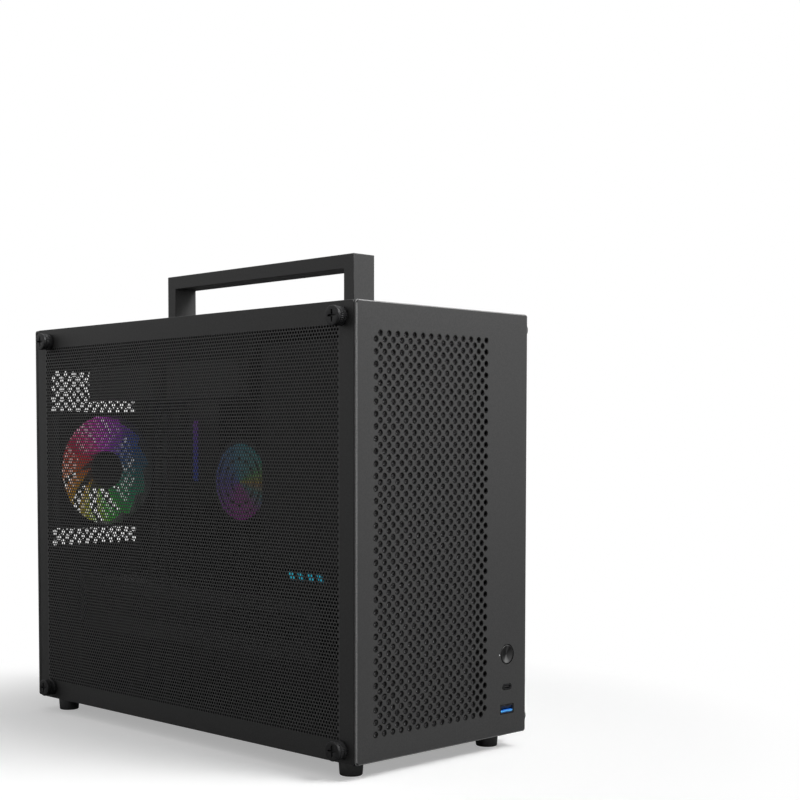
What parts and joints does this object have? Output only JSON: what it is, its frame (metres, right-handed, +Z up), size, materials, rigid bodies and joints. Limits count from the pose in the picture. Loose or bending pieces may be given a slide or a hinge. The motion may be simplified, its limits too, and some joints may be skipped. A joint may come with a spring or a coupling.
{
  "type": "pc case",
  "caption": "Upright black computer case with a carrying handle, a perforated front, a fine mesh side, thumb screws, short feet and lit hardware behind the mesh.",
  "frame": {"origin": "on the floor, under the middle of the case and its thumb screws", "axes": "+Z up, the perforated front faces -Y, the mesh side faces -X"},
  "size_m": [0.1826, 0.365, 0.3424],
  "materials": {
    "black_powder_coat": "fine black powder coat",
    "dark_steel": "dark painted sheet steel",
    "black_plastic": "matt black",
    "black_rubber": "matt black",
    "grey_filter_mesh": "fine grey dust filter",
    "brushed_metal": "turned and brushed",
    "bare_steel": "plain bright metal",
    "blue_plastic": "bright blue",
    "white_light": "clear light guide, lit white",
    "frosted_blade": "frosted, lit from the hub",
    "black_circuit_board": "black circuit board",
    "pump_light": "lit diffuser"
  },
  "bodies": {
    "case": {"front_panel": "black_powder_coat", "front_filter": "grey_filter_mesh", "front_bracket": "dark_steel", "mesh_side_panel": "black_powder_coat", "plain_side_panel": "black_powder_coat", "base_tray": "dark_steel", "top_plate": "black_powder_coat", "rear_wall": "black_powder_coat", "motherboard_tray": "dark_steel", "handle": "black_powder_coat", "handle_screw_front": "bare_steel", "handle_screw_rear": "bare_steel", "foot_front_left": "black_rubber", "foot_front_right": "black_rubber", "foot_rear_left": "black_rubber", "foot_rear_right": "black_rubber", "thumb_screw_left_front_low": "black_plastic", "thumb_screw_left_front_high": "black_plastic", "thumb_screw_left_rear_low": "black_plastic", "thumb_screw_left_rear_high": "black_plastic", "thumb_screw_right_front_low": "black_plastic", "thumb_screw_right_front_high": "black_plastic", "thumb_screw_right_rear_low": "black_plastic", "thumb_screw_right_rear_high": "black_plastic", "power_switch": "black_plastic", "status_light_pipe": "white_light", "usb_c_port": "bare_steel", "usb_a_port": "bare_steel", "usb_a_tongue": "blue_plastic", "front_io_holder": "black_plastic", "front_io_board": "black_circuit_board", "power_supply": "black_powder_coat", "power_supply_shelf": "dark_steel", "shelf_light_guide": "white_light", "power_inlet": "black_plastic", "motherboard": "black_circuit_board", "memory_module_1": "black_plastic", "memory_module_2": "black_plastic", "port_shield": "bare_steel", "rear_port_block": "bare_steel", "port_cover": "black_plastic", "pump_head": "black_plastic", "pump_light": "pump_light", "radiator": "black_powder_coat", "rear_fan_frame": "black_plastic", "radiator_fan_frame_front": "black_plastic", "radiator_fan_frame_rear": "black_plastic", "graphics_card": "black_plastic", "graphics_bracket": "bare_steel", "slot_cover_1": "dark_steel", "slot_cover_2": "dark_steel"},
    "power_button": {"power_button": "brushed_metal"},
    "rear_fan": {"rear_fan_rotor": "frosted_blade"},
    "radiator_fan_front": {"radiator_fan_rotor_front": "frosted_blade"},
    "radiator_fan_rear": {"radiator_fan_rotor_rear": "frosted_blade"},
    "graphics_fan_1": {"graphics_fan_rotor_1": "frosted_blade"},
    "graphics_fan_2": {"graphics_fan_rotor_2": "frosted_blade"}
  },
  "joints": [
    {"name": "power_button_press", "type": "slide", "parent": "case", "child": "power_button", "axis": [0, 1, 0], "range_m": [0, 0.0015], "stiffness_N_per_m": 1200},
    {"name": "rear_fan_spin", "type": "hinge", "parent": "case", "child": "rear_fan", "pos_m": [-0.0335, 0.1542, 0.191], "axis": [0, 1, 0], "continuous": true},
    {"name": "radiator_fan_front_spin", "type": "hinge", "parent": "case", "child": "radiator_fan_front", "pos_m": [-0.0225, -0.0115, 0.2452], "axis": [0, 0, 1], "continuous": true},
    {"name": "radiator_fan_rear_spin", "type": "hinge", "parent": "case", "child": "radiator_fan_rear", "pos_m": [-0.0225, 0.0875, 0.2452], "axis": [0, 0, 1], "continuous": true},
    {"name": "graphics_fan_1_spin", "type": "hinge", "parent": "case", "child": "graphics_fan_1", "pos_m": [0.0075, -0.03806, 0.0632], "axis": [0, 0, 1], "continuous": true},
    {"name": "graphics_fan_2_spin", "type": "hinge", "parent": "case", "child": "graphics_fan_2", "pos_m": [0.0075, 0.0631, 0.0632], "axis": [0, 0, 1], "continuous": true}
  ]
}
